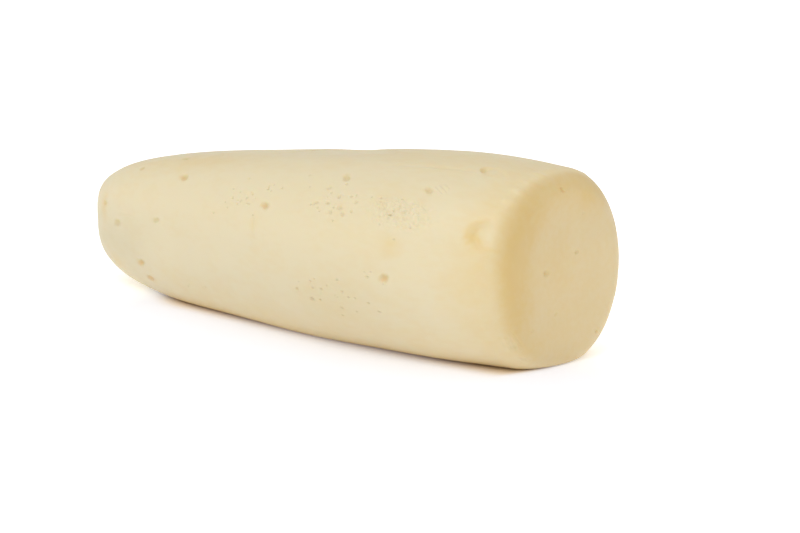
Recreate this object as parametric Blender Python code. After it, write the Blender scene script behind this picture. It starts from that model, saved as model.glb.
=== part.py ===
"""Mozzarella loaf: one solid log of pulled curd, lying on its settled underside.

The loaf runs along X. Its near end, at +X, is a nearly flat face with a softly rounded rim.
Its far end, at -X, is a smaller blunt dome. Lengths are in metres, and +Z is up. The origin is
on the surface that the loaf rests on, under the middle of the loaf's box.
"""
import math

import bmesh
import bpy
import numpy as np

NAME = "mozzarella_loaf"

# The body before its ends are rounded: its height, and how far it reaches from the line under
# its ridge towards -Y and +Y, at four stations evenly spaced from the dome's tip to the near face.
LENGTH = 0.246
HEIGHTS = (0.0618, 0.0631, 0.0709, 0.0703)
FRONT_WIDTHS = (0.0284, 0.0350, 0.0471, 0.0359)
BACK_WIDTHS = (0.0298, 0.0308, 0.0315, 0.0321)

# A section is a superellipse: 2 is an ellipse, and a higher power is squarer.
DOME_SQUARENESS = 3.25
FACE_SQUARENESS = 2.01

# The far dome, and the rim and face of the near end.
DOME_LENGTH = 0.083
DOME_BLUNTNESS = 3.1
RIM_RADIUS = 0.0082
FACE_DISH = 0.0010  # how far the middle of the near face lies behind its rim
FACE_SKEW = 0.145  # the face is turned towards -Y by this much in each metre across
SKEW_REACH = 0.048  # the turn fades out over this length behind the face

# The underside has settled: it is sunk below the table line and pressed flat there.
SINK = 0.0038
SETTLE = 0.0019  # the flat turns up into the sides within this height

# Dents pressed into the skin: the place of the middle along the loaf from mid-length, and around
# it in degrees from the -Y side up; then half the length, half the height, and the depth. The
# end towards -X is the steep one.
DENTS = (
    {"along": 0.1110, "around": 27.0, "half_length": 0.0090, "half_height": 0.0070, "depth": 0.0015},
    {"along": 0.0985, "around": 68.5, "half_length": 0.0060, "half_height": 0.0040, "depth": 0.0009},
)

# Facets.
CELLS_ALONG = 46
CELLS_ACROSS = 20
PROFILE_STEPS = 400
TINY = 1e-6

# The grid's rows are evenly spaced in a measure that is the skin's length from the dome's tip plus
# this much for each radian that the outline turns, so they crowd where the skin is round. The two
# end squares of the grid hold the first and last part of it.
TURN_WEIGHT = 0.019
DOME_CAP = 0.033
FACE_CAP = 0.033

CHEESE_COLOUR = (0.80, 0.71, 0.49, 1.0)
CHEESE_ROUGHNESS = 0.42


def through_stations(values, t):
    """A smooth curve through four evenly spaced values, at t from 0 to 1."""
    a, b, c, d = values
    p, q, r = 1 - 3 * t, 2 - 3 * t, 1 - t
    return (a * p * q * r + 9 * b * t * q * r - 9 * c * t * p * r + d * t * p * q) / 2


def make_profile():
    """The outline from the dome's tip to the middle of the near face, as columns: the grid's
    measure, place along the loaf, size factor, and inset of the rim."""
    half_turn = np.linspace(0.0, math.pi / 2, PROFILE_STEPS)
    half = LENGTH / 2

    # The dome is a superellipse. Its factor grows from nothing at the tip to one.
    factor = np.sin(half_turn) ** (2 / DOME_BLUNTNESS)
    dome = np.stack([-half + DOME_LENGTH * (1 - np.cos(half_turn)), factor, 0 * factor], 1)

    # The rim turns a quarter of a circle into the face.
    along = half - RIM_RADIUS * (1 - np.sin(half_turn))
    rim = np.stack([along, 1 + 0 * along, RIM_RADIUS * (1 - np.cos(half_turn))], 1)

    shrink = np.linspace(1.0, 0.0, PROFILE_STEPS)[1:]
    face = np.stack([half + 0 * shrink, shrink, RIM_RADIUS + 0 * shrink], 1)

    rows = np.concatenate([dome, rim, face])
    radius = through_stations(BACK_WIDTHS, rows[:, 0] / LENGTH + 0.5)
    outline = np.stack([rows[:, 0], (radius - rows[:, 2]) * rows[:, 1]], 1)
    steps = np.diff(outline, axis=0)
    heading = np.arctan2(steps[:, 1], steps[:, 0])
    turning = np.abs(np.diff(heading, prepend=heading[0]))
    measure = np.cumsum(np.hypot(*steps.T) + TURN_WEIGHT * turning)
    return np.concatenate([[0.0], measure]), rows[:, 0], rows[:, 1], rows[:, 2]


def smooth_step(value):
    """0 below 0, 1 above 1, and a smooth rise between."""
    value = min(max(value, 0.0), 1.0)
    return value * value * (3 - 2 * value)


def dent_depth(dent, along, arc):
    """How deep a dent is at a distance along and around the loaf from its middle."""
    reach = math.hypot(along / dent["half_length"], arc / dent["half_height"])
    slope = 0.5 - 0.5 * along / dent["half_length"]  # deep at the steep end, nothing at the other
    return dent["depth"] * smooth_step(2 * (1 - reach)) * slope


def settle(z):
    """Presses a height flat onto the table, with a smooth turn into the sides."""
    if z >= SETTLE:
        return z
    if z <= -SETTLE:
        return 0.0
    return (z + SETTLE) ** 2 / (4 * SETTLE)


def loaf_point(cube_point, profile):
    """The place on the loaf of a point on the cube from -1 to 1."""
    u, v, w = cube_point
    measure, places, factors, insets = profile
    ring = max(abs(v), abs(w))
    if ring < TINY:  # the middle of an end square has no direction of its own
        ring, v, w = TINY, TINY, TINY
    if u < -0.999 and ring < 0.999:
        travelled = ring * DOME_CAP
    elif u > 0.999 and ring < 0.999:
        travelled = measure[-1] - ring * FACE_CAP
    else:
        travelled = DOME_CAP + (u + 1) / 2 * (measure[-1] - DOME_CAP - FACE_CAP)
    along = float(np.interp(travelled, measure, places))
    factor = float(np.interp(travelled, measure, factors))
    inset = float(np.interp(travelled, measure, insets))

    t = along / LENGTH + 0.5
    half_height = (through_stations(HEIGHTS, t) + SINK) / 2
    half_width = through_stations(FRONT_WIDTHS if v < 0 else BACK_WIDTHS, t)
    width, height = (half_width - inset) * factor, (half_height - inset) * factor

    # The square ring becomes a superellipse, with its points evenly spaced.
    across = math.tan(v / ring * math.pi / 4)
    upward = math.tan(w / ring * math.pi / 4)
    power = DOME_SQUARENESS + (FACE_SQUARENESS - DOME_SQUARENESS) * t
    scale = (abs(across) ** power + abs(upward) ** power) ** (-1 / power)
    y, z = width * scale * across, height * scale * upward

    # The dents press the skin in towards the loaf's axis.
    radius = math.hypot(y, z)
    angle = math.atan2(z, -y)
    press = sum(
        dent_depth(dent, along - dent["along"], (angle - math.radians(dent["around"])) * radius)
        for dent in DENTS
    )
    shrink = 1 - press / max(radius, press + TINY)
    y, z = y * shrink, z * shrink

    x = along + FACE_SKEW * y * smooth_step(1 + (along - LENGTH / 2) / SKEW_REACH)
    if along >= LENGTH / 2:
        x -= FACE_DISH * (1 - factor ** 3) ** 2
    return x, y, settle(z + half_height - SINK)


def split_edges_along(mesh, axis, cells):
    """Cuts every edge that runs along an axis into equal cells, right across the faces."""
    edges = [
        edge for edge in mesh.edges
        if abs(edge.verts[0].co[axis] - edge.verts[1].co[axis]) > 0.5
    ]
    bmesh.ops.subdivide_edges(mesh, edges=edges, cuts=cells - 1, use_grid_fill=True)


def make_loaf_mesh():
    """The loaf's skin: a gridded cube whose points are moved onto the loaf."""
    mesh = bmesh.new()
    bmesh.ops.create_cube(mesh, size=2.0)
    split_edges_along(mesh, 0, CELLS_ALONG)
    split_edges_along(mesh, 1, CELLS_ACROSS)
    split_edges_along(mesh, 2, CELLS_ACROSS)

    profile = make_profile()
    for vert in mesh.verts:
        vert.co = loaf_point(vert.co, profile)

    # The origin goes under the middle of the box.
    xs = [vert.co.x for vert in mesh.verts]
    ys = [vert.co.y for vert in mesh.verts]
    middle = ((min(xs) + max(xs)) / 2, (min(ys) + max(ys)) / 2, 0.0)
    bmesh.ops.translate(mesh, verts=mesh.verts, vec=[-value for value in middle])
    bmesh.ops.recalc_face_normals(mesh, faces=mesh.faces)

    data = bpy.data.meshes.new(NAME)
    mesh.to_mesh(data)
    mesh.free()
    data.shade_smooth()
    return data


def make_cheese():
    """Pale ivory cheese with a soft sheen."""
    material = bpy.data.materials.new("cheese")
    material.use_nodes = True
    shader = material.node_tree.nodes["Principled BSDF"]
    shader.inputs["Base Color"].default_value = CHEESE_COLOUR
    shader.inputs["Roughness"].default_value = CHEESE_ROUGHNESS
    shader.inputs["Metallic"].default_value = 0.0
    return material


def main():
    for item in list(bpy.data.objects):
        bpy.data.objects.remove(item, do_unlink=True)
    collection = bpy.data.collections.new(NAME)
    bpy.context.scene.collection.children.link(collection)
    loaf = bpy.data.objects.new(NAME, make_loaf_mesh())
    loaf.data.materials.append(make_cheese())
    collection.objects.link(loaf)


main()
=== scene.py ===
"""The looks of the mozzarella loaf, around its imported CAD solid. Metres, +Z up.

One fine skin replaces the CAD node. It repeats the solid's driving sizes, is closed, and has true
dimples, pinholes, dents, creases and wrinkles. A place on the skin is given by x and by "around",
in degrees about the loaf's axis, from the -Y side (0) up to the top (90), over to the +Y side
(180) and along the underside (-90).
"""
import math
import random
from collections import namedtuple

import bpy
import numpy as np
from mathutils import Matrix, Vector, noise
from mathutils.bvhtree import BVHTree


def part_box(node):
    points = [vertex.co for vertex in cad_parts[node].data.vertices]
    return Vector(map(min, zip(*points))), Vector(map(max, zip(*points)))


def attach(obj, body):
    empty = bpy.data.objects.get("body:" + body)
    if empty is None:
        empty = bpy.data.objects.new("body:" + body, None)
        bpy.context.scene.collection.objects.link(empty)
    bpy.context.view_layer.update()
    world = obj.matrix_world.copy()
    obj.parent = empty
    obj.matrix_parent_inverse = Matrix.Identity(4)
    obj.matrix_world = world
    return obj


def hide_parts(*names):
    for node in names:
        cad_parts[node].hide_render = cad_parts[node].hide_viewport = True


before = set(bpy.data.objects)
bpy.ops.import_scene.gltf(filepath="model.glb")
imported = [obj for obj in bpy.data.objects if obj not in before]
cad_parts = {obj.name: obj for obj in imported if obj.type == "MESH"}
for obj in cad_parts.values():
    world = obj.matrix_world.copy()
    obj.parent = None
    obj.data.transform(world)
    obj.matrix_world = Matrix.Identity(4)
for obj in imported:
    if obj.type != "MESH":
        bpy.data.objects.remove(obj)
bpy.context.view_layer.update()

NODE = "mozzarella_loaf"
MM = 0.001

# ---- Driving sizes, the same as in the CAD part ----

# The height, and the reach towards -Y and +Y from the line under the ridge, at four stations
# evenly spaced from the dome's tip to the near face.
LENGTH = 0.246
HEIGHTS = (0.0618, 0.0631, 0.0709, 0.0703)
FRONT_WIDTHS = (0.0284, 0.0350, 0.0471, 0.0359)
BACK_WIDTHS = (0.0298, 0.0308, 0.0315, 0.0321)

# A section is a superellipse: 2 is an ellipse, and a higher power is squarer.
DOME_SQUARENESS = 3.25
FACE_SQUARENESS = 2.01

# The far dome, and the rim and face of the near end.
DOME_LENGTH = 0.083
DOME_BLUNTNESS = 3.1  # the power of the dome's own superellipse
RIM_RADIUS = 0.0082
FACE_DISH = 0.0010  # how far the middle of the near face lies behind its rim
FACE_SKEW = 0.145  # the face is turned towards -Y by this much in each metre across
SKEW_REACH = 0.048  # the turn fades out over this length behind the face

# The underside is sunk below the table line and pressed flat there.
SINK = 0.0038
SETTLE = 0.0019  # the flat turns up into the sides within this height

# The grid's rows are evenly spaced in the skin's length plus this much for each radian of turn,
# and its two end squares hold the first and last part of that measure.
TURN_WEIGHT = 0.019
DOME_CAP = 0.033
FACE_CAP = 0.033
PROFILE_STEPS = 400
END_SQUARE = 0.99999  # a point on the cube that is further out than this is on an end square
TINY = 1e-6

AXIS_HEIGHT = 0.036  # height of the line that "around" turns about
MEAN_RADIUS = 36  # the skin's usual distance from that line, in millimetres
END_FACING = 0.8  # a normal with this much X is an end's

# ---- Fineness of the skin ----
START_ALONG = 150  # cells of the grid before it is refined
START_ACROSS = 32
SKIN_EDGE = 0.0030  # longest edge on plain skin
EDGES_IN_RADIUS = 2.7  # edges from the middle of a detail to its lip
FINEST_EDGE = 0.00024
EDGE_GROWTH = 0.60  # how fast edges may grow with the distance from a detail
REFINE_ROUNDS = 5

# The radius of the fine skin at each detail, in millimetres. A pinhole's and a crease's are a
# share of its half-height or half-width, and a dimple's is its smaller half size.
FINE_AT_PINHOLE = 2.0
FINE_AT_CREASE = 1.6
FINE_AT_DENT = 2.4
FINE_AT_WRINKLES = 2.0
FINE_AT_DEEP_WRINKLES = 1.4
DEEP_WRINKLES = 1.0  # wrinkles deeper than this are deep ones

# Fine spots stand on a grid over a wrinkled patch: how far apart they are, in millimetres and in
# degrees, and how many millimetres of the patch's half-length and half-height each stands for.
SPOT_STEP = 2.2
SPOT_ROW = 3.0
PATCH_STEP = 2.4
PATCH_ROW = 2.2

# ---- Details of the skin. Lengths are in millimetres and angles in degrees ----

# Dimples, stretched along the loaf as pulled curd is: x, around, half-length, half-height, how
# far the long side is turned down towards +X, depth, and how orange and how olive the hollow is.
# The orange of a hollow is painted bounced light, and its olive painted shade.
DIMPLES = (
    (-48, 43.5, 3.0, 1.4, 13, 0.90, 1.0, 0.6),
    (44.5, 49, 2.8, 1.5, 41, 0.70, 0.4, 0.6),
    (10.8, 25, 2.3, 1.4, 9, 0.95, 0.8, 0.6),
    (82.8, 48.3, 2.0, 1.4, 34, 0.70, 0.5, 0.5),
    (74.6, -4.3, 1.9, 1.6, -20, 0.95, 0.85, 0.6),
    (-94.5, -19.6, 3.3, 1.5, -11, 0.90, 0.2, 0.8),
    (-61.5, 0, 3.2, 1.1, -8, 0.60, 0.1, 0.6),
    (-75.5, -45.6, 3.2, 1.3, -9, 1.00, 1.0, 0.8),
    (-70.7, -54, 3.8, 1.3, -7, 1.00, 0.9, 0.6),
    (-59.3, 72, 2.6, 1.4, 17, 0.60, 0.1, 0.7),
    (94.8, 76, 2.2, 1.1, 54, 0.60, 0.4, 0.6),
    (-107, 6, 2.2, 1.1, 0, 0.40, 0.3, 0.4),
    (-83, 58.5, 1.8, 1.0, 10, 0.45, 0.5, 0.7),
    (115.4, -55, 1.5, 1.1, 57, 0.40, 0.0, 0.2),
    # the hidden sides
    (58, 118, 3.2, 1.7, -10, 1.15, 0.9, 0.5),
    (12, 151, 2.6, 1.7, 12, 1.20, 0.6, 0.6),
    (-31, 128, 3.3, 1.6, 0, 1.00, 1.0, 0.4),
    (86, 168, 2.0, 1.7, 0, 1.10, 0.8, 0.5),
    (-70, 160, 3.6, 1.6, 10, 1.10, 0.7, 0.8),
    (-54, 192, 2.6, 1.4, 0, 0.80, 0.5, 0.5),
    (33, 204, 3.0, 1.5, -8, 1.00, 1.0, 0.4),
    (-96, 118, 3.0, 1.5, 15, 0.80, 0.4, 0.6),
    (20, -92, 2.8, 1.6, 0, 0.80, 0.7, 0.4),
    (-38, -84, 2.4, 1.5, 10, 0.70, 0.5, 0.4),
    (72, -98, 2.2, 1.4, -6, 0.70, 0.6, 0.4),
)

# Pits in the flat face: y, z, half-length, half-height, turn, depth, orange (painted bounced light)
# and olive (painted shade).
FACE_PITS = (
    (3.9, 64.3, 1.3, 0.8, 47, 0.60, 1.3, 0.6),
    (-2.7, 34.8, 1.4, 1.1, 16, 0.55, 0.8, 0.5),
    (12.6, 40.5, 0.9, 0.8, 0, 0.40, 0.5, 0.5),
    (2.0, 19.6, 1.2, 0.7, 0, 0.16, 0.0, 0.2),
    (-10.9, 15.7, 1.0, 0.7, 0, 0.16, 0.1, 0.1),
    (22.7, 9.9, 0.8, 0.7, 0, 0.35, 0.4, 0.6),
    (14.9, 54.4, 0.9, 0.6, 0, 0.15, 0.1, 0.1),
)

# The larger pinholes: x, around, and half-height.
PINHOLES = (
    (40, 40, 0.75),
    (25.5, 49, 0.50),
    (47.5, 35, 0.60),
    (53, 36, 0.45),
    (38, 30, 0.65),
    (43.5, 30.5, 0.60),
    (56.5, 33, 0.62),
    (50, 28.7, 0.75),
    (46.5, 25.6, 0.68),
    (52.5, 25.4, 0.66),
    (56, 27.4, 0.45),
    (-1.3, 28.7, 0.52),
    (-4.5, 26.2, 0.45),
    (1.1, 24.8, 0.48),
    (-10, 28, 0.42),
    (8.5, 36, 0.50),
    (16, 37.3, 0.45),
    (38.9, -22.9, 0.72),
    (44.7, -15.8, 0.50),
    (31.6, -19, 0.50),
    (55, -15, 0.50),
    (53.5, -24.5, 0.45),
    (67.3, -4.8, 0.50),
    (73.4, 29, 0.45),
    # the hidden sides
    (28, 133, 0.72),
    (33, 129, 0.60),
    (36, 136, 0.62),
    (-40, 152, 0.65),
    (-47, 148, 0.55),
    (74, 150, 0.60),
    (66, 196, 0.70),
    (-12, 176, 0.65),
)

# Clusters of small pinholes: x, around, spread along and around, how many, and half-height.
PINHOLE_CLUSTERS = (
    (45, 33, 9.0, 5.0, 16, 0.34),
    (-5, 28, 8.0, 3.0, 11, 0.30),
    (6, 37, 9.0, 2.5, 6, 0.30),
    (74, 31, 9.0, 4.5, 14, 0.28),
    (42, -16, 8.0, 3.2, 10, 0.32),
    (57, -18, 5.0, 3.0, 6, 0.32),
    (68, -4, 4.0, 2.0, 3, 0.26),
    (-30, -35, 9.0, 3.0, 4, 0.26),
    # the hidden sides
    (30, 132, 8.0, 4.5, 13, 0.34),
    (-44, 150, 8.0, 3.0, 9, 0.32),
    (70, 148, 8.0, 4.0, 14, 0.30),
    (-10, 198, 7.0, 2.5, 7, 0.32),
    (-20, 100, 8.0, 3.0, 5, 0.30),
    (48, -90, 9.0, 5.0, 6, 0.32),
    (-8, -86, 8.0, 5.0, 5, 0.32),
)
PINHOLE_SEED = 7
PINHOLE_SIZES = (0.75, 1.35)  # the smallest and the largest, as shares of the cluster's half-height

# A pinhole's true half-length, half-height and depth, for each millimetre of half-height in the
# tables above. Then how far it is turned down, how orange and how olive it is, and how much painted
# shade it has; its olive is painted shade too.
PINHOLE_SHAPE = (1.8, 1.1, 0.85)
PINHOLE_TURN = 8
PINHOLE_SHADE = (0.0, 0.15, 0.28)

# Fingertip dents: x, around, half-length, half-height, depth, and how yellow the steep wall is,
# partly as painted shade.
# That wall is towards -X, and the floor rises towards +X.
DENTS = (
    (109.2, 28.5, 7.8, 5.8, 1.6, 0.53),
    (98.0, 76.5, 4.5, 3.4, 0.8, 0.2),
    (-18.0, 162.0, 6.5, 5.0, 1.2, 0.5),
)
CRESCENT_TURN = 26  # the yellow crescent is turned down from the dent's end by this angle

# Creases: half-width, depth, then the places (x, around) that it runs through. A negative depth
# makes a ridge.
CREASES = (
    (1.0, 0.22, ((53, 64.5), (66, 68), (78, 70), (87, 71.5), (94, 72.5), (101, 70))),
    (1.2, 0.10, ((56, 73), (68, 72), (84, 68.5))),
    (1.0, 0.12, ((96, 80), (102, 78), (106, 73))),
    (0.9, 0.24, ((-44, 88), (-40, 80), (-37, 74))),
    (0.6, 0.16, ((6.2, 19), (6.6, 12), (8.2, 5))),
    (0.42, -0.18, ((83.3, 52.0), (85.5, 49.8), (87.8, 47.6))),
    (0.42, -0.17, ((84.0, 54.1), (86.8, 51.6), (89.4, 49.1))),
    (0.40, -0.12, ((85.6, 55.6), (87.6, 54.0), (89.4, 52.3))),
    (0.6, -0.30, ((115.5, -42), (116.0, -47), (116.4, -53), (116.7, -60))),
    (0.5, 0.22, ((115.0, -62), (116.0, -66), (116.8, -72))),
    (0.5, -0.18, ((114.3, -43), (114.5, -48), (114.4, -52))),
    (0.8, 0.12, ((-98, -4), (-86, -2), (-74, -3))),
    # soft ridges over the rim of the near face
    (1.0, -0.16, ((108, 56), (112, 57), (115, 58.5))),
    (1.0, -0.26, ((109.5, 66), (113.5, 67), (116, 69))),
    (0.9, -0.22, ((110.5, 76), (114, 77), (116.5, 79.5))),
    (1.0, -0.26, ((110.5, 87), (114.5, 88), (117.3, 90))),
    (0.9, -0.16, ((112, 124), (115.5, 124.5), (118.4, 125))),
    # the hidden sides
    (0.9, 0.24, ((-20, 110), (0, 113), (24, 110), (40, 112))),
    (0.8, 0.18, ((44, 156), (60, 160), (78, 157))),
    (0.8, 0.20, ((-84, 140), (-66, 137), (-50, 141))),
    (0.8, 0.20, ((-60, -80), (-20, -92), (30, -84), (80, -96))),
)

# Patches of fine wrinkles, which run along the loaf and a little down: x, around, half-length,
# half-height and depth.
WRINKLED_PATCHES = (
    (76, 31, 16, 6.5, 1.02),
    (47, 31, 12, 7, 0.30),
    (-3, 29, 12, 5, 0.20),
    (46, -17, 14, 5, 0.20),
    (66, 148, 16, 8, 0.60),
    (-40, 152, 14, 6, 0.25),
)
WRINKLE_SIZE = 1.35
WRINKLE_TURN = 28
WRINKLE_STRETCH = 2.0
WRINKLE_LEVEL = 0.35  # the noise that lies level with the skin: less is a ridge
WRINKLE_SLICES = 50  # slices through the noise for each metre along, so that no patches match
FINER_WRINKLES = 1.9  # the second layer is this many times finer
FINER_SHARE = 0.5  # its depth, as a share of the first layer's
FINER_SLICE = 7.0  # the second layer's slice through the noise, in every patch

# Broad shallow hollows: x, around, half-length, half-height and depth. A negative depth makes a
# bulge. Then those of the face: y, z, half-width, half-height and depth.
HOLLOWS = (
    (56, 90, 24, 12, 0.55),
    (21, 107, 16, 13, 0.84),
    (104, 100, 16, 14, 0.50),
    (114, 103, 9, 9, 0.55),
    (-110, 48, 7, 8, 0.85),
    (-80, -64, 9, 6, 0.90),
    (24, -60, 32, 8, -0.80),
    (84, -56, 22, 8, -0.60),
    (-8, 92, 9, 12, 0.30),
    (-32, 78, 7, 6, 0.25),
    (20, -10, 24, 9, 0.25),
    (-60, 24, 18, 8, 0.20),
    (90, -30, 14, 8, 0.20),
    (30, 165, 24, 12, 0.45),
    (-50, 200, 18, 9, 0.35),
)
FACE_HOLLOWS = (
    (-4, 48, 15, 14, 1.10),
    (8, 20, 14, 9, 0.30),
)

# Soft yellow blotches: x, around, half-length, half-height and amount, which is negative where
# the skin is paler. Then those of the face: y, z, half-width, half-height and amount.
BLOTCHES = (
    (76.5, 13, 4, 4, 0.35),
    (6, 12, 2.5, 5, 0.25),
    (50, -25, 12, 5, 0.18),
    (-108, -4, 3, 6, 0.50),
    (-99, -60, 6, 3, 0.50),
    (-52, 66, 30, 7, 0.36),
    (52, 42, 24, 11, -0.14),
    (-15, 31, 22, 7, -0.16),
    (50, -12, 34, 10, 0.10),
    (70, 88, 40, 9, 0.22),
    (103, -14, 8, 12, 0.10),
    (111, 29, 4, 5, -0.25),
    (83, 41, 3, 3, 0.25),
    (-20, 150, 20, 8, 0.20),
    (60, 176, 16, 10, 0.22),
    (-70, 140, 14, 6, 0.20),
)
FACE_BLOTCHES = (
    (-12, 49, 2.5, 3.5, 0.25),
    (-15.5, 41, 2.0, 2.5, 0.25),
    (17, 60, 8.0, 6.0, 0.22),
    (3, 65, 5.0, 3.0, 0.20),
    (-8, 10, 5.0, 3.0, 0.15),
)

# The uneven, hand-shaped surface: the height and size of each layer of swells, and how far it is
# moved through the noise, so that the layers differ.
SWELLS = (
    (0.45, 30.0, Vector((0, 0, 0))),
    (0.10, 11.0, Vector((5, 2, 8))),
    (0.022, 3.6, Vector((3, 9, 1))),
)
SWELL_SQUEEZE = 0.6  # swells are longer along the loaf than across it
SWELL_FADE = 6  # they fade out towards the table below this height

# ---- The shape of each kind of detail ----

# A detail changes the skin up to its reach. Here a distance from its middle counts in its own
# half-lengths along it and half-heights across it, and a height is a share of its depth.
PRESS_REACH = 2.4
DENT_REACH = 2.0
CREASE_REACH = 4.0
WRINKLE_REACH = 1.5
HOLLOW_REACH = 2.4
BLOTCH_REACH = 2.2

# A dimple, pit or pinhole: its bowl, its raised lip, how uneven its outline is, and its painted shade
# and bounced light.
BOWL_EDGE, BOWL_POWER = 1.25, 1.8
LIP_AT, LIP_WIDTH, LIP_HEIGHT = 1.4, 0.32, 0.12
LIP_EVEN, LIP_LEAN = 0.5, 0.4  # the lip's share all round, and what its high side adds
UNEVEN_SIZE, UNEVEN_SHARE = 1.3, 0.3
HOLLOW_SHADE_AND_GLOW = (1.45, 0.35)  # where its painted shade and bounced light start and where they are full
SHADED_UPPER = (-0.5625, 0.6875)  # the same for its upper part, which is in painted shade, across the hollow
LIT_HIGH_SIDE = (-2 / 3, 1.0)  # and for the lip's high side, which is painted lit: along less across
OLIVE_BELOW = 0.3  # the share of olive painted shade that the lower part has too
ORANGE_LOST_ABOVE, ORANGE_LOST_AT_LIP = 0.8, 0.5  # by the shaded upper part, and by the painted lit high side

# A fingertip dent: its wall, its floor and its lip, and the yellow crescent on its wall, which is
# partly painted shade and lies round the fingertip. A pair says where along the dent something
# starts and where it is full.
WALL_WIDTH, WALL_SPREAD = 0.40, 0.35
WALL_SPREADS = (0.0, -2 / 3)  # the wall is wider by the spread towards -X
FLOOR_DEEPENS = (10 / 11, -10 / 11)
DENT_LIP_AT, DENT_LIP_WIDTH, DENT_LIP_HEIGHT = 1.12, 0.22, 0.07
DENT_LIP_RISES = (0.625, -0.625)
FINGERTIP_MIDDLE, FINGERTIP_HALF_LENGTH, FINGERTIP_HALF_HEIGHT = 0.36, 0.70, 0.86
CRESCENT_OUTER = (1.12, 0.86)  # these two are distances from the dent's middle
CRESCENT_INNER = (0.72, 1.17)  # and these are from the fingertip's middle
CRESCENT_END = (0.8, -0.2)
CRESCENT_PALES = (0.0, 2 / 3)  # across the dent, both ways
CRESCENT_PALER = 0.4  # the share of its yellow that the crescent then loses

# A crease: its soft shoulders, and how it fades out at its ends.
SHOULDER_AT, SHOULDER_WIDTH, SHOULDER_HEIGHT = 1.9, 0.7, 0.25
CREASE_ENDS = (0.02, 0.98)
CREASE_FADE_POWER = 0.6

WRINKLES_FADE = (1.2, 0.4)  # where a patch of wrinkles starts and where it is full

# ---- Camera, lamp, world and floor. Azimuths turn from -Y towards +X, in degrees ----
LENS = 70  # millimetres
CLIP_START = 0.01
CAMERA_AZIMUTH, CAMERA_ELEVATION, CAMERA_DISTANCE = 39.63, 11.92, 0.59045
CAMERA_TARGET = (0.04969, 0.0, 0.02767)

KEY_AZIMUTH, KEY_ELEVATION, KEY_DISTANCE = 13, 50, 1.3
KEY_TARGET = (0.02, 0.0, 0.03)
KEY_SIZE = 0.9
KEY_POWER = 4.9
WORLD_STRENGTH = 0.72

FLOOR_REACH = 9.0
FLOOR_ROUGHNESS = 0.9

# The line under the loaf from which distances on the floor are measured.
LINE_MIDDLE = 0.025
LINE_HALF = 0.078
LINE_ASIDE = 0.005

# Rises over the floor: where each starts, where it is full, and how much it then is.
PAST_FACE = (0.112, 0.124, 0.02)  # added to the distance past the near face
AT_DOME = (-0.068, -0.095, 1.0)
GLOW_BESIDE = (0.016, 0.031, 0.24)
GLOW_FAR_OFF = (0.2, 1.1, 0.2)
GLOW_BEHIND = (0.0, 0.06, 0.25)
GLOW_AT_DOME = (0.13, 0.08, 0.12)
PLAIN_BEHIND = (-0.005, 0.025, 1.0)
PLAIN_FAR_OFF = (0.06, 0.2, 1.0)
# where the painted warm shadow gives way to white
WHITE_FROM = (0.017, 0.031, 1.0)

# ---- Colours ----
WHITE = (1.0, 1.0, 1.0, 1.0)
COOL_GLOW = (0.66, 0.72, 1.0, 1.0)  # offsets the warm light that the loaf throws on the floor
WHITE_FLOOR = (0.95, 0.95, 0.95, 1.0)
# The floor's colour close to the loaf, a painted warm shadow.
PAINTED_WARM_SHADOW = (0.95, 0.78, 0.55, 1.0)
IVORY = (0.770, 0.670, 0.440, 1.0)
# Yellow is partly painted shade: near the table, inside the near face's rim and on the dents' walls.
YELLOW = (0.745, 0.547, 0.218, 1.0)
# Olive is painted shade in the hollows. Orange is painted bounced light in the hollows, and a slight
# tint over the near face.
OLIVE = (0.610, 0.525, 0.245, 1.0)
ORANGE = (0.740, 0.480, 0.200, 1.0)
PAINTED_SHADE_KEEPS = (0.845, 0.845, 0.840, 1.0)  # the share of the colour that skin keeps under full painted shade
FACE_ORANGE = 0.13  # how orange the near face is all over

# Soft clouds over the skin: how many to a metre, how far they are stretched along the loaf, and
# the lowest and highest value.
ROUGHNESS_CLOUD = (160, 1.5, 0.38, 0.50)
BROAD_TONE_CLOUD = (90, 1.6, -0.07, 0.09)
FINE_TONE_CLOUD = (420, 2.5, -0.08, 0.09)
CLOUD_DETAIL = 3.0
NOISE_LOW, NOISE_HIGH = 0.3, 0.7  # nearly all of Blender's noise lies between these

# Light goes a little way into the curd, and red light furthest.
SUBSURFACE_WEIGHT = 0.3
SUBSURFACE_RADIUS = (1.0, 0.6, 0.25)
SUBSURFACE_SCALE = 0.0014


# ---------------------------------------------------------------- the smooth loaf

def through_stations(values, t):
    """A smooth curve through four evenly spaced values, at t from 0 to 1."""
    a, b, c, d = values
    p, q, r = 1 - 3 * t, 2 - 3 * t, 1 - t
    return (a * p * q * r + 9 * b * t * q * r - 9 * c * t * p * r + d * t * p * q) / 2


def smooth_step(value):
    """0 below 0, 1 above 1, and a smooth rise between."""
    value = np.clip(value, 0.0, 1.0)
    return value * value * (3 - 2 * value)


def rise(value, start, end):
    """0 at the start, 1 at the end, and a smooth rise between. The end may be the lower one."""
    return smooth_step((value - start) / (end - start))


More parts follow.
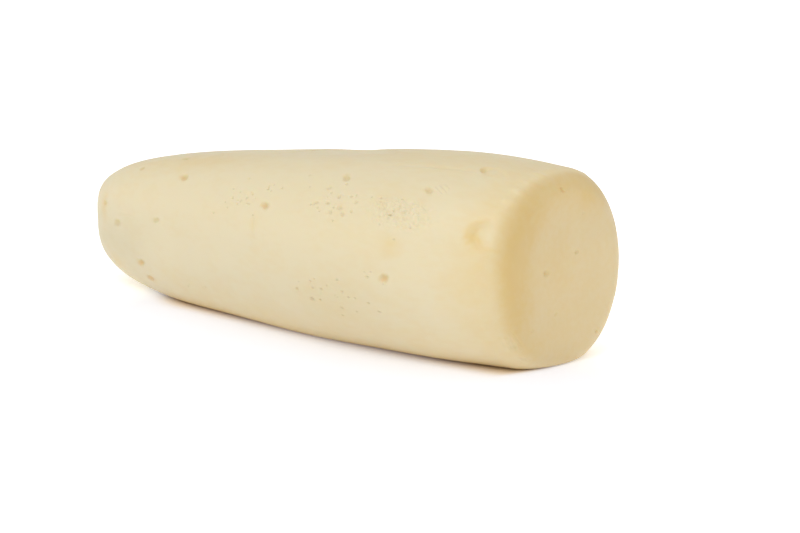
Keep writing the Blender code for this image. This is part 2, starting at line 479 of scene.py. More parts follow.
def make_profile():
    """The outline from the dome's tip to the middle of the near face, as columns: the grid's
    measure, place along the loaf, size factor, and inset of the rim."""
    half_turn = np.linspace(0.0, math.pi / 2, PROFILE_STEPS)
    half = LENGTH / 2
    factor = np.sin(half_turn) ** (2 / DOME_BLUNTNESS)
    dome = np.stack([-half + DOME_LENGTH * (1 - np.cos(half_turn)), factor, 0 * factor], 1)
    along = half - RIM_RADIUS * (1 - np.sin(half_turn))
    rim = np.stack([along, 1 + 0 * along, RIM_RADIUS * (1 - np.cos(half_turn))], 1)
    shrink = np.linspace(1.0, 0.0, PROFILE_STEPS)[1:]
    face = np.stack([half + 0 * shrink, shrink, RIM_RADIUS + 0 * shrink], 1)
    rows = np.concatenate([dome, rim, face])
    radius = through_stations(BACK_WIDTHS, rows[:, 0] / LENGTH + 0.5)
    outline = np.stack([rows[:, 0], (radius - rows[:, 2]) * rows[:, 1]], 1)
    steps = np.diff(outline, axis=0)
    heading = np.arctan2(steps[:, 1], steps[:, 0])
    turning = np.abs(np.diff(heading, prepend=heading[0]))
    measure = np.cumsum(np.hypot(*steps.T) + TURN_WEIGHT * turning)
    return np.concatenate([[0.0], measure]), rows[:, 0], rows[:, 1], rows[:, 2]


PROFILE = make_profile()


def settle(z):
    """Presses heights flat onto the table, with a smooth turn into the sides."""
    turning = (z + SETTLE) ** 2 / (4 * SETTLE)
    return np.where(z >= SETTLE, z, np.where(z <= -SETTLE, 0.0, turning))


def loaf_points(cube):
    """The places on the smooth loaf of points on the cube from -1 to 1."""
    u, v, w = cube.T
    measure, places, factors, insets = PROFILE
    ring = np.maximum(abs(v), abs(w))
    side = DOME_CAP + (u + 1) / 2 * (measure[-1] - DOME_CAP - FACE_CAP)
    on_dome = (u < -END_SQUARE) & (ring < END_SQUARE)
    travelled = np.where(on_dome, ring * DOME_CAP, side)
    on_face = (u > END_SQUARE) & (ring < END_SQUARE)
    travelled = np.where(on_face, measure[-1] - ring * FACE_CAP, travelled)
    along = np.interp(travelled, measure, places)
    factor = np.interp(travelled, measure, factors)
    inset = np.interp(travelled, measure, insets)

    t = along / LENGTH + 0.5
    half_height = (through_stations(HEIGHTS, t) + SINK) / 2
    front, back = through_stations(FRONT_WIDTHS, t), through_stations(BACK_WIDTHS, t)
    width = (np.where(v < 0, front, back) - inset) * factor
    height = (half_height - inset) * factor

    # The square ring becomes a superellipse. The middle of an end has no direction of its own.
    divisor = np.where(ring > TINY, ring, 1.0)
    across = np.tan(np.where(ring > TINY, v, 1.0) / divisor * math.pi / 4)
    upward = np.tan(np.where(ring > TINY, w, 1.0) / divisor * math.pi / 4)
    power = DOME_SQUARENESS + (FACE_SQUARENESS - DOME_SQUARENESS) * t
    scale = (abs(across) ** power + abs(upward) ** power) ** (-1 / power)
    y, z = width * scale * across, height * scale * upward

    x = along + FACE_SKEW * y * smooth_step(1 + (along - LENGTH / 2) / SKEW_REACH)
    x = np.where(along >= LENGTH / 2, x - FACE_DISH * (1 - factor ** 3) ** 2, x)
    return np.stack([x, y, settle(z + half_height - SINK)], 1)


def start_grid():
    """The cube's gridded surface, as points and triangles."""
    points, triangles = [], []
    grids = (
        (0, 1, 2, START_ACROSS, START_ACROSS),
        (1, 0, 2, START_ALONG, START_ACROSS),
        (2, 0, 1, START_ALONG, START_ACROSS),
    )
    for fixed, first, second, first_cells, second_cells in grids:
        for sign in (-1.0, 1.0):
            base = len(points)
            for i in range(first_cells + 1):
                for j in range(second_cells + 1):
                    point = [0.0, 0.0, 0.0]
                    point[fixed] = sign
                    point[first] = 2 * i / first_cells - 1
                    point[second] = 2 * j / second_cells - 1
                    points.append(point)
            outward = (sign > 0) == (fixed != 1)
            for i in range(first_cells):
                for j in range(second_cells):
                    a = base + i * (second_cells + 1) + j
                    b, c, d = a + second_cells + 1, a + second_cells + 2, a + 1
                    quad = (a, b, c, d) if outward else (a, d, c, b)
                    triangles.append((quad[0], quad[1], quad[2]))
                    triangles.append((quad[0], quad[2], quad[3]))
    points = np.round(np.array(points), 9)  # so that the squares share the points of their edges
    merged, index = np.unique(points, axis=0, return_inverse=True)
    return merged, index.reshape(-1)[np.array(triangles)]


def split_triangles(triangles, middles):
    """Triangles cut at the middles of their edges, where a middle isn't -1. Edge k runs from
    corner k to the next."""
    done = [triangles[(middles < 0).all(1)]]
    for first in range(3):
        order = [first, (first + 1) % 3, (first + 2) % 3]
        a, b, c = triangles[:, order].T
        ab, bc, ca = middles[:, order].T
        one = (ab >= 0) & (bc < 0) & (ca < 0)
        done.append(np.stack([a, ab, c], 1)[one])
        done.append(np.stack([ab, b, c], 1)[one])
        two = (ab >= 0) & (bc >= 0) & (ca < 0)
        done.append(np.stack([ab, b, bc], 1)[two])
        done.append(np.stack([a, ab, bc], 1)[two])
        done.append(np.stack([a, bc, c], 1)[two])
    all_three = (middles >= 0).all(1)
    a, b, c = triangles[all_three].T
    ab, bc, ca = middles[all_three].T
    done += [np.stack(part, 1) for part in ((a, ab, ca), (ab, b, bc), (ca, bc, c), (ab, bc, ca))]
    return np.concatenate(done)


def refine(cube, triangles, shift, longest_edge):
    """Halves every edge that is longer than it may be, until none is or the rounds are done."""
    for _ in range(REFINE_ROUNDS):
        places = loaf_points(cube) + shift
        corners = np.stack([triangles, np.roll(triangles, -1, 1)], 2)
        edges, index = np.unique(np.sort(corners.reshape(-1, 2), 1), axis=0, return_inverse=True)
        index = index.reshape(-1, 3)
        middles = (places[edges[:, 0]] + places[edges[:, 1]]) / 2
        lengths = np.linalg.norm(places[edges[:, 0]] - places[edges[:, 1]], axis=1)
        split = lengths > longest_edge(middles)
        if not split.any():
            break
        number = np.full(len(edges), -1)
        number[split] = len(cube) + np.arange(split.sum())
        cube = np.concatenate([cube, (cube[edges[split, 0]] + cube[edges[split, 1]]) / 2])
        triangles = split_triangles(triangles, number[index])
    return cube, triangles


def vertex_normals(places, triangles):
    """The direction out of the skin at each point: the mean of its triangles', by their area."""
    a, b, c = (places[triangles[:, k]] for k in range(3))
    faces = np.cross(b - a, c - a)
    normals = np.zeros_like(places)
    for k in range(3):
        for axis in range(3):
            normals[:, axis] += np.bincount(triangles[:, k], faces[:, axis], len(places))
    return normals / np.linalg.norm(normals, axis=1)[:, None]


# ---------------------------------------------------------------- places on the skin

# A place on the skin, and the directions along the loaf (+X), across it (the way that "around"
# grows, which is up on the -Y side) and out of it. On the near face, along is +Y and across is +Z.
Spot = namedtuple("Spot", "place along across outward")


class Skin:
    """The smooth loaf, as something to find spots on."""

    def __init__(self, places, triangles):
        self.tree = BVHTree.FromPolygons(places.tolist(), triangles.tolist())

    def hit(self, start, direction):
        """The first spot on the skin from a start."""
        place, normal, _, _ = self.tree.ray_cast(Vector(start), Vector(direction))
        outward = np.array(normal)
        on_an_end = abs(outward[0]) >= END_FACING
        guide = np.array((0.0, 1.0, 0.0) if on_an_end else (1.0, 0.0, 0.0))
        along = guide - outward * (guide @ outward)
        along /= np.linalg.norm(along)
        return Spot(np.array(place), along, np.cross(outward, along), outward)

    def around(self, x, degrees):
        """The spot at x, and at an angle around the loaf's axis."""
        turn = math.radians(degrees)
        return self.hit((x * MM, 0.0, AXIS_HEIGHT), (0.0, -math.cos(turn), math.sin(turn)))

    def on_face(self, y, z):
        """The spot on the near face at y and z."""
        return self.hit((LENGTH, y * MM, z * MM), (-1.0, 0.0, 0.0))

    def rows_around(self, rows):
        """A table's rows, as spots and the values after x and around."""
        return [(self.around(x, around), rest) for x, around, *rest in rows]

    def rows_on_face(self, rows):
        """A table's rows, as spots and the values after y and z."""
        return [(self.on_face(y, z), rest) for y, z, *rest in rows]


def find_pinholes(skin):
    """Every pinhole, as (spot, half-height)."""
    draw = random.Random(PINHOLE_SEED)
    found = [(skin.around(x, around), size) for x, around, size in PINHOLES]
    for x, around, spread_along, spread_around, count, size in PINHOLE_CLUSTERS:
        for _ in range(count):
            place_x = x + draw.gauss(0, spread_along)
            place_around = around + math.degrees(draw.gauss(0, spread_around) / MEAN_RADIUS)
            found.append((skin.around(place_x, place_around), size * draw.uniform(*PINHOLE_SIZES)))
    return found


def crease_path(skin, places):
    """Spots about a millimetre apart, along a crease through some places."""
    path = []
    for (x0, around0), (x1, around1) in zip(places, places[1:]):
        reach = math.hypot(x1 - x0, math.radians(around1 - around0) * MEAN_RADIUS)
        steps = max(2, round(reach))
        for step in range(steps):
            share = step / steps
            path.append(skin.around(x0 + (x1 - x0) * share, around0 + (around1 - around0) * share))
    path.append(skin.around(*places[-1]))
    return path


class Details:
    """Every detail of the skin, as its spot or path and the rest of its table's row."""

    def __init__(self, skin):
        self.dimples = skin.rows_around(DIMPLES) + skin.rows_on_face(FACE_PITS)
        self.pinholes = find_pinholes(skin)
        self.dents = skin.rows_around(DENTS)
        self.creases = [(crease_path(skin, path), width, depth) for width, depth, path in CREASES]
        self.patches = skin.rows_around(WRINKLED_PATCHES)
        self.hollows = skin.rows_around(HOLLOWS) + skin.rows_on_face(FACE_HOLLOWS)
        self.blotches = skin.rows_around(BLOTCHES) + skin.rows_on_face(FACE_BLOTCHES)


def wrinkle_spots(skin):
    """Spots on a grid over each wrinkled patch, with the radius of the fine skin at each."""
    found = []
    for x, around, half_length, half_height, depth in WRINKLED_PATCHES:
        radius = FINE_AT_DEEP_WRINKLES if depth > DEEP_WRINKLES else FINE_AT_WRINKLES
        steps, rows = round(half_length / PATCH_STEP), round(half_height / PATCH_ROW)
        for step in range(-steps, steps + 1):
            for row in range(-rows, rows + 1):
                spot = skin.around(x + step * SPOT_STEP, around + row * SPOT_ROW)
                found.append((spot, radius))
    return found


def edge_limits(skin, details):
    """A function that gives the longest edge allowed at some places, which is shorter near the
    details."""
    fine = [(spot, min(sizes[:2])) for spot, sizes in details.dimples]
    fine += [(spot, FINE_AT_PINHOLE * size) for spot, size in details.pinholes]
    fine += [(spot, FINE_AT_DENT) for spot, _ in details.dents]
    fine += [(spot, FINE_AT_CREASE * width) for path, width, _ in details.creases for spot in path]
    fine += wrinkle_spots(skin)

    def longest_edge(places):
        limit = np.full(len(places), SKIN_EDGE)
        for spot, radius in fine:
            finest = max(radius * MM / EDGES_IN_RADIUS, FINEST_EDGE)
            reach = radius * MM + (SKIN_EDGE - finest) / EDGE_GROWTH
            index = np.flatnonzero(np.abs(places[:, 0] - spot.place[0]) < reach)
            distance = np.linalg.norm(places[index] - spot.place, axis=1)
            allowed = finest + EDGE_GROWTH * np.clip(distance - radius * MM, 0, None)
            limit[index] = np.minimum(limit[index], allowed)
        return limit

    return longest_edge


# ---------------------------------------------------------------- relief and tones

def turned(a, b, degrees):
    """Distances along and across, turned by an angle."""
    angle = math.radians(degrees)
    cos, sin = math.cos(angle), math.sin(angle)
    return a * cos - b * sin, a * sin + b * cos


def bump(value, middle, width):
    """1 at the middle, falling to nothing on both sides."""
    return np.exp(-((value - middle) / width) ** 2)


def uneven(places, size):
    """A small uneven share for each place, which makes the outline of a hollow irregular."""
    scale = UNEVEN_SIZE * size * MM
    return np.array([UNEVEN_SHARE * noise.noise(Vector(place) / scale) for place in places])


class Relief:
    """Collects, for every point of the skin, how far it moves and how it is coloured, painted shade
    included.
    """

    def __init__(self, places, normals):
        self.places, self.normals = places, normals
        self.moves = np.zeros_like(places)
        self.yellow = np.zeros(len(places))
        self.orange = np.zeros(len(places))
        self.olive = np.zeros(len(places))
        self.painted_shade = np.zeros(len(places))

    def near(self, place, reach):
        """The points near a place, and their offsets from it."""
        index = np.flatnonzero(np.abs(self.places[:, 0] - place[0]) < reach)
        offset = self.places[index] - place
        close = (offset ** 2).sum(1) < reach ** 2
        return index[close], offset[close]

    def in_patch(self, spot, half_length, half_height, limit):
        """The points in a patch, their offsets from its middle, and their distances from it, which
        count in its half-lengths and half-heights."""
        index, offset = self.near(spot.place, limit * max(half_length, half_height) * MM)
        a, b = offset @ spot.along / half_length, offset @ spot.across / half_height
        return index, offset, np.hypot(a, b) / MM

    def roll(self):
        """The uneven, hand-shaped surface: long swells, softer near the table."""
        for point, (place, normal) in enumerate(zip(self.places, self.normals)):
            squeezed = Vector((place[0] * SWELL_SQUEEZE, place[1], place[2]))
            swell = sum(
                height * noise.noise(squeezed / (size * MM) + moved) for height, size, moved in SWELLS
            )
            self.moves[point] += normal * swell * MM * min(1.0, place[2] / (SWELL_FADE * MM))

    def hollow(self, spot, half_length, half_height, depth):
        """A broad and shallow hollow, or a bulge."""
        index, _, reach = self.in_patch(spot, half_length, half_height, HOLLOW_REACH)
        self.moves[index] -= depth * MM * np.exp(-reach ** 2)[:, None] * spot.outward

    def press(self, spot, half_length, half_height, turn, depth, orange, olive, painted_shade=0.0):
        """A hollow with a softly raised lip. As seen on the -Y side, the lip is highest below and
        towards +X. Its colour is painted light: olive painted shade in its upper part, orange painted
        bounced light below and towards -X, and any further painted shade over the whole hollow."""
        index, offset = self.near(spot.place, PRESS_REACH * max(half_length, half_height) * MM)
        a, b = turned(offset @ spot.along, offset @ spot.across, turn)
        a, b = a / half_length / MM, b / half_height / MM
        reach = np.hypot(a, b) * (1 + uneven(self.places[index], half_height))

        facing = np.clip(self.normals[index] @ spot.outward * 2, 0, 1)  # 0 where it turns away
        bowl = np.clip(1 - (reach / BOWL_EDGE) ** 2, 0, 1) ** BOWL_POWER
        lean = (a - b) / np.maximum(reach, 0.5)  # how far round towards the lower +X side
        lip = bump(reach, LIP_AT, LIP_WIDTH) * (LIP_EVEN + LIP_LEAN * lean)
        height = (LIP_HEIGHT * depth * lip - depth * bowl) * facing
        self.moves[index] += height[:, None] * MM * spot.outward

        # Painted shade and bounced light: olive above, orange below, paler on the lit high side.
        shade_and_glow, upper = rise(reach, *HOLLOW_SHADE_AND_GLOW), rise(b, *SHADED_UPPER)
        orange_kept = 1 - ORANGE_LOST_ABOVE * upper
        orange_kept *= 1 - ORANGE_LOST_AT_LIP * rise(a - b, *LIT_HIGH_SIDE)
        olive_kept = OLIVE_BELOW + (1 - OLIVE_BELOW) * upper
        self.orange[index] = np.maximum(self.orange[index], orange * shade_and_glow * orange_kept)
        self.olive[index] = np.maximum(self.olive[index], olive * shade_and_glow * olive_kept)
        self.painted_shade[index] += painted_shade * shade_and_glow

    def dent(self, spot, half_length, half_height, depth, yellow):
        """A fingertip's dent: a crescent of steep wall towards -X, and a floor that rises to
        nothing towards +X."""
        index, offset = self.near(spot.place, DENT_REACH * max(half_length, half_height) * MM)
        a, b = offset @ spot.along / MM / half_length, offset @ spot.across / MM / half_height
        reach = np.hypot(a, b)

        wall_width = WALL_WIDTH + WALL_SPREAD * rise(a, *WALL_SPREADS)
        wall, floor = rise(reach, 1.0, 1.0 - wall_width), rise(a, *FLOOR_DEEPENS)
        lip = bump(reach, DENT_LIP_AT, DENT_LIP_WIDTH) * rise(a, *DENT_LIP_RISES)
        height = DENT_LIP_HEIGHT * depth * lip - depth * wall * floor
        self.moves[index] += height[:, None] * MM * spot.outward

        # The yellow crescent on the steep wall: partly the curd's own tone, partly painted shade.
        a, b = turned(a, b, -CRESCENT_TURN)
        from_tip = np.hypot((a - FINGERTIP_MIDDLE) / FINGERTIP_HALF_LENGTH, b / FINGERTIP_HALF_HEIGHT)
        crescent = rise(reach, *CRESCENT_OUTER) * rise(from_tip, *CRESCENT_INNER)
        crescent *= rise(a, *CRESCENT_END) * (1 - CRESCENT_PALER * rise(abs(b), *CRESCENT_PALES))
        self.yellow[index] = np.maximum(self.yellow[index], yellow * crescent)

    def crease(self, path, half_width, depth):
        """A groove or ridge along a path, with soft shoulders, fading out at its ends."""
        closest = np.full(len(self.places), np.inf)
        share = np.zeros(len(self.places))
        outward = np.zeros_like(self.places)
        for step, spot in enumerate(path):
            index, offset = self.near(spot.place, CREASE_REACH * half_width * MM + MM)
            distance = np.linalg.norm(offset, axis=1)
            if step + 1 < len(path):
                stretch = path[step + 1].place - spot.place
                on_line = np.clip(offset @ stretch / (stretch @ stretch), 0, 1)
                distance = np.linalg.norm(offset - on_line[:, None] * stretch, axis=1)
            better = distance < closest[index]
            chosen = index[better]
            closest[chosen] = distance[better]
            share[chosen] = step / (len(path) - 1)
            outward[chosen] = spot.outward
        touched = np.isfinite(closest)
        reach = closest[touched] / (half_width * MM)
        groove, shoulder = bump(reach, 0, 1), bump(reach, SHOULDER_AT, SHOULDER_WIDTH)
        fade = np.sin(math.pi * np.clip(share[touched], *CREASE_ENDS)) ** CREASE_FADE_POWER
        height = depth * fade * (SHOULDER_HEIGHT * shoulder - groove)
        self.moves[touched] += height[:, None] * MM * outward[touched]

    def wrinkle(self, spot, half_length, half_height, depth):
        """A patch of fine worm-like wrinkles, in two layers."""
        index, offset, reach = self.in_patch(spot, half_length, half_height, WRINKLE_REACH)
        strength = rise(reach, *WRINKLES_FADE)
        chosen = strength > 0
        a, b = turned(offset[chosen] @ spot.along, offset[chosen] @ spot.across, WRINKLE_TURN)
        in_noise = np.stack([a / WRINKLE_STRETCH, b], 1) / (WRINKLE_SIZE * MM)
        patch_slice = spot.place[0] * WRINKLE_SLICES
        for point, amount, (a, b) in zip(index[chosen], strength[chosen], in_noise):
            coarse_place = Vector((a, b, patch_slice))
            finer_place = Vector((FINER_WRINKLES * a, FINER_WRINKLES * b, FINER_SLICE))
            ridge = WRINKLE_LEVEL - abs(noise.noise(coarse_place))
            ridge += FINER_SHARE * (WRINKLE_LEVEL - abs(noise.noise(finer_place)))
            self.moves[point] += self.normals[point] * amount * depth * MM * ridge

    def blotch(self, spot, half_length, half_height, amount):
        """A soft yellow patch, or a paler one."""
        index, _, reach = self.in_patch(spot, half_length, half_height, BLOTCH_REACH)
        self.yellow[index] += amount * np.exp(-reach ** 2)

    def tone(self):
        """The broad tones of the skin, much of them painted shade. Each is an amount times how far it
        has risen between two places, in millimetres, or between two slopes of the skin."""
        x, y, z = self.places.T / MM
        facing, upward = self.normals[:, 0], self.normals[:, 2]
        face = rise(facing + 0.3 * np.maximum(upward, 0), 0.68, 0.96)
        high = rise(z, 51, 62)
        near_side = rise(0.45 * np.clip(z - 40, 0, 15) - y, 4, 19)  # wider at the top

        # The skin is yellow towards the near face and on top, and yellower near the table as painted
        # warm shade.
        beside = 0.34 * rise(x, 92, 112) + 0.10 * rise(x, 100, 110) * rise(z, 24, 38)
        beside *= 1 - 0.35 * rise(z, 58, 66)
        low = 0.60 * rise(z, 6, 0) + 0.32 * rise(z, 26, 0)
        low *= rise(x, -95, -25) * (1 - 0.5 * rise(x, 80, 110))
        top = 0.13 * rise(upward, 0.80, 0.95)
        # The face is yellow inside its rim on the near side, partly as painted shade, and paler over
        # the rest.
        on_face = 0.44 + 0.14 * high - 0.06 * rise(y, 4, 16) * (1 - high)
        on_face += near_side * (0.55 - 0.25 * high) * (0.35 + 0.65 * rise(z, 6, 28))
        yellow = np.maximum(beside, np.maximum(low, top)) * (1 - face) + on_face * face

        # Painted shade: the skin is darker below the middle of the sides, along the ridge and on the
        # far end.
        below = 0.45 * rise(upward, 0.3, -0.2) * (1 - 0.5 * rise(upward, -0.3, -1.3))
        below *= 1.1 - 0.9 * rise(x, 50, 105)
        ridge = 0.12 * rise(upward, 0.94, 0.99)
        far = 0.20 * rise(facing, -0.1, -1.1)
        far += 0.38 * rise(x, -50, -90) * rise(z, 44, 24)
        far += 0.44 * rise(x, -66, -96) * rise(z, 34, 12)
        # The face has more painted shade still, most of all at its top, its bottom and both its
        # sides.
        face_painted_shade = 0.43 + 0.23 * rise(z, 34, 50) + 0.12 * near_side
        face_painted_shade += 0.12 * rise(y, 8, 22) + 0.15 * rise(z, 11, 2)
        painted_shade = (np.maximum(below, ridge) + far) * (1 - face) + face_painted_shade * face

        self.yellow += yellow
        self.painted_shade += painted_shade
        self.orange = np.maximum(self.orange, FACE_ORANGE * face)


def apply_details(relief, details):
    """Shapes and colours the skin by all its details. The blotches lie over the broad tones."""
    relief.roll()
    for spot, sizes in details.hollows:
        relief.hollow(spot, *sizes)
    for spot, sizes in details.dimples:
        relief.press(spot, *sizes)
    for spot, size in details.pinholes:
        half_length, half_height, depth = (share * size for share in PINHOLE_SHAPE)
        relief.press(spot, half_length, half_height, PINHOLE_TURN, depth, *PINHOLE_SHADE)
    for spot, sizes in details.dents:
        relief.dent(spot, *sizes)
    for path, half_width, depth in details.creases:
        relief.crease(path, half_width, depth)
    for spot, sizes in details.patches:
        relief.wrinkle(spot, *sizes)
    relief.tone()
    for spot, sizes in details.blotches:
        relief.blotch(spot, *sizes)


# ---------------------------------------------------------------- materials

class Nodes:
    """Makes and links a material's nodes. A value is a plain value or another node's output."""

    def __init__(self, tree):
        self.tree = tree

    def feed(self, socket, value):
        """Links a socket to a node's output, or sets it to a plain value."""
        if isinstance(value, bpy.types.NodeSocket):
            self.tree.links.new(value, socket)
        else:
            socket.default_value = value

    def object_place(self):
        """The place of a point, in metres on the object's own axes."""
        return self.tree.nodes.new("ShaderNodeTexCoord").outputs["Object"]

    def split(self, place):
        """The X and Y of a place."""
        node = self.tree.nodes.new("ShaderNodeSeparateXYZ")
        self.feed(node.inputs[0], place)
        return node.outputs["X"], node.outputs["Y"]

    def attribute(self, name):
        """A value that is stored with the mesh's points."""
        node = self.tree.nodes.new("ShaderNodeAttribute")
        node.attribute_name = name
        return node.outputs["Fac"]

    def math(self, operation, first, second=0.0):
        """A sum, a difference or another operation on one or two values."""
        node = self.tree.nodes.new("ShaderNodeMath")
        node.operation = operation
        self.feed(node.inputs[0], first)
        self.feed(node.inputs[1], second)
        return node.outputs[0]

    def mix(self, factor, first, second, blend="MIX"):
        """A mix of two colours."""
        node = self.tree.nodes.new("ShaderNodeMix")
        node.data_type = "RGBA"
        node.blend_type = blend
        self.feed(node.inputs["Factor"], factor)
        self.feed(node.inputs["A"], first)
        self.feed(node.inputs["B"], second)
        return node.outputs["Result"]

    def spread(self, value, start, end, low, high, interpolation="LINEAR"):
        """Spreads the values from start to end over low to high."""
        node = self.tree.nodes.new("ShaderNodeMapRange")
        node.interpolation_type = interpolation
        node.inputs["From Min"].default_value = start
        node.inputs["From Max"].default_value = end
        node.inputs["To Min"].default_value = low
        node.inputs["To Max"].default_value = high
        self.feed(node.inputs["Value"], value)
        return node.outputs["Result"]

    def rise(self, value, start, end, top):
        """0 at the start, and a smooth rise to the top at the end."""
        return self.spread(value, start, end, 0.0, top, "SMOOTHSTEP")

    def cloud(self, place, scale, stretch, low, high):
        """Soft noise, stretched along X."""
        mapping = self.tree.nodes.new("ShaderNodeMapping")
        mapping.inputs["Scale"].default_value = (scale / stretch, scale, scale)
        self.feed(mapping.inputs["Vector"], place)
        texture = self.tree.nodes.new("ShaderNodeTexNoise")
        texture.inputs["Scale"].default_value = 1.0
        texture.inputs["Detail"].default_value = CLOUD_DETAIL
        self.feed(texture.inputs["Vector"], mapping.outputs["Vector"])
        return self.spread(texture.outputs["Fac"], NOISE_LOW, NOISE_HIGH, low, high)


def new_material(name):
    """A material, its shader, and a maker of its other nodes."""
    material = bpy.data.materials.new(name)
    material.use_nodes = True
    tree = material.node_tree
    return material, tree.nodes["Principled BSDF"], Nodes(tree)


def make_cheese():
    """Ivory curd with a soft moist sheen, coloured by the skin's stored tones, which include painted
    shade and painted bounced light.
    """
    material, shader, nodes = new_material("cheese")
    shader.inputs["Subsurface Weight"].default_value = SUBSURFACE_WEIGHT
    shader.inputs["Subsurface Radius"].default_value = SUBSURFACE_RADIUS
    shader.inputs["Subsurface Scale"].default_value = SUBSURFACE_SCALE

    place = nodes.object_place()
    nodes.feed(shader.inputs["Roughness"], nodes.cloud(place, *ROUGHNESS_CLOUD))
    broad, fine = nodes.cloud(place, *BROAD_TONE_CLOUD), nodes.cloud(place, *FINE_TONE_CLOUD)
    yellow = nodes.math("ADD", nodes.attribute("yellow"), nodes.math("ADD", broad, fine))
    colour = nodes.mix(yellow, IVORY, YELLOW)
    # Painted shade darkens the colour.
    colour = nodes.mix(nodes.attribute("painted_shade"), colour, PAINTED_SHADE_KEEPS, "MULTIPLY")
    colour = nodes.mix(nodes.attribute("olive"), colour, OLIVE)
    colour = nodes.mix(nodes.attribute("orange"), colour, ORANGE)
    nodes.feed(shader.inputs["Base Color"], colour)
    return material


def make_white_floor():
    """A floor that glows so that it stays white: not under the loaf, a little around it, and more
    behind it, past its dome and far away. Right at the loaf it doesn't glow, and its warm cream
    colour there is a painted shadow."""
    material, shader, nodes = new_material("white_floor")
    shader.inputs["Roughness"].default_value = FLOOR_ROUGHNESS

    x, y = nodes.split(nodes.object_place())
    beside = nodes.math("ABSOLUTE", nodes.math("SUBTRACT", x, LINE_MIDDLE))
    beyond = nodes.math("MAXIMUM", nodes.math("SUBTRACT", beside, LINE_HALF), 0.0)
    across = nodes.math("SUBTRACT", y, LINE_ASIDE)
    beyond_squared, across_squared = (nodes.math("MULTIPLY", side, side) for side in (beyond, across))
    from_line = nodes.math("SQRT", nodes.math("ADD", beyond_squared, across_squared))
    before_face = nodes.math("ADD", x, nodes.math("MULTIPLY", y, -FACE_SKEW))
    distance = nodes.math("ADD", from_line, nodes.rise(before_face, *PAST_FACE))
    dome = nodes.rise(x, *AT_DOME)

    glow = nodes.math("ADD", nodes.rise(distance, *GLOW_BESIDE), nodes.rise(distance, *GLOW_FAR_OFF))
    glow = nodes.math("ADD", glow, nodes.rise(y, *GLOW_BEHIND))
    at_dome = nodes.math("MULTIPLY", dome, nodes.rise(distance, *GLOW_AT_DOME))
    nodes.feed(shader.inputs["Emission Strength"], nodes.math("ADD", glow, at_dome))

    plain = nodes.math("MAXIMUM", dome, nodes.rise(y, *PLAIN_BEHIND))
    plain = nodes.math("MAXIMUM", plain, nodes.rise(distance, *PLAIN_FAR_OFF))
    nodes.feed(shader.inputs["Emission Color"], nodes.mix(plain, COOL_GLOW, WHITE))
    away = nodes.rise(distance, *WHITE_FROM)
    nodes.feed(shader.inputs["Base Color"], nodes.mix(away, PAINTED_WARM_SHADOW, WHITE_FLOOR))
    return material


# ---------------------------------------------------------------- camera, lamp, world and floor

def aim(item, azimuth, elevation, distance, target):
    """Adds a camera or a lamp that looks at a target from a distance. The azimuth turns from -Y
    towards +X."""
    turn, lift = math.radians(azimuth), math.radians(elevation)
    away = Vector((
        math.cos(lift) * math.sin(turn),
        -math.cos(lift) * math.cos(turn),
        math.sin(lift),
    ))
    item.location = Vector(target) + distance * away
    item.rotation_euler = away.to_track_quat("Z", "Y").to_euler()
    bpy.context.scene.collection.objects.link(item)


def make_camera():
    """A long lens, looking slightly down at the near end and the -Y side."""
    data = bpy.data.cameras.new("camera")
    data.lens = LENS
    data.clip_start = CLIP_START
    camera = bpy.data.objects.new("camera", data)
    aim(camera, CAMERA_AZIMUTH, CAMERA_ELEVATION, CAMERA_DISTANCE, CAMERA_TARGET)
    bpy.context.scene.camera = camera


def make_key_lamp():
    """One large round lamp, high on the -Y side."""
    data = bpy.data.lights.new("key", "AREA")
    data.shape = "DISK"
    data.size = KEY_SIZE
    data.energy = KEY_POWER
    lamp = bpy.data.objects.new("key", data)
    aim(lamp, KEY_AZIMUTH, KEY_ELEVATION, KEY_DISTANCE, KEY_TARGET)


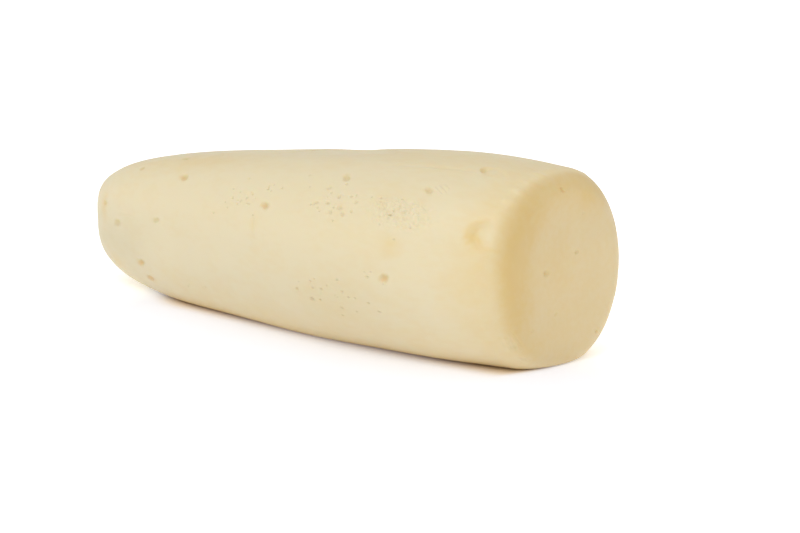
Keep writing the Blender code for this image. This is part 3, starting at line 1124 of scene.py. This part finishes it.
def make_world():
    """An even white light from all round."""
    world = bpy.data.worlds.new("studio")
    world.use_nodes = True
    background = world.node_tree.nodes["Background"]
    background.inputs["Color"].default_value = WHITE
    background.inputs["Strength"].default_value = WORLD_STRENGTH
    bpy.context.scene.world = world
    bpy.context.scene.view_settings.view_transform = "Standard"


def make_floor():
    """A wide white floor, which glows and has a painted warm shadow close to the loaf."""
    data = bpy.data.meshes.new("floor")
    signs = ((-1, -1), (1, -1), (1, 1), (-1, 1))
    corners = [(across * FLOOR_REACH, away * FLOOR_REACH, 0) for across, away in signs]
    data.from_pydata(corners, [], [(0, 1, 2, 3)])
    data.materials.append(make_white_floor())
    floor = bpy.data.objects.new("floor", data)
    bpy.context.scene.collection.objects.link(floor)


# ---------------------------------------------------------------- the loaf

def make_loaf():
    """The whole skin, shaped and coloured, in place of the CAD node."""
    cube, triangles = start_grid()
    places = loaf_points(cube)
    # The skin is moved level, so that the middle of its box is the middle of the CAD node's.
    low, high = (np.array(corner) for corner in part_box(NODE))
    shift = ((low + high) / 2 - (places.min(0) + places.max(0)) / 2) * (1, 1, 0)
    skin = Skin(places + shift, triangles)
    details = Details(skin)

    cube, triangles = refine(cube, triangles, shift, edge_limits(skin, details))
    places = loaf_points(cube) + shift
    relief = Relief(places, vertex_normals(places, triangles))
    apply_details(relief, details)
    shaped = places + relief.moves
    shaped[:, 2] = np.maximum(shaped[:, 2], 0.0)  # nothing is below the table

    data = bpy.data.meshes.new("loaf_skin")
    data.from_pydata(shaped.tolist(), [], triangles.tolist())
    data.shade_smooth()
    tones = {
        "yellow": relief.yellow,
        "painted_shade": relief.painted_shade,
        "olive": relief.olive,
        "orange": relief.orange,
    }
    for name, values in tones.items():
        values = np.clip(values, 0.0, 1.0)
        data.attributes.new(name, "FLOAT", "POINT").data.foreach_set("value", values)
    loaf = bpy.data.objects.new("loaf_skin", data)
    data.materials.append(make_cheese())
    bpy.context.scene.collection.objects.link(loaf)
    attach(loaf, "root")
    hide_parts(NODE)


make_camera()
make_key_lamp()
make_world()
make_floor()
make_loaf()
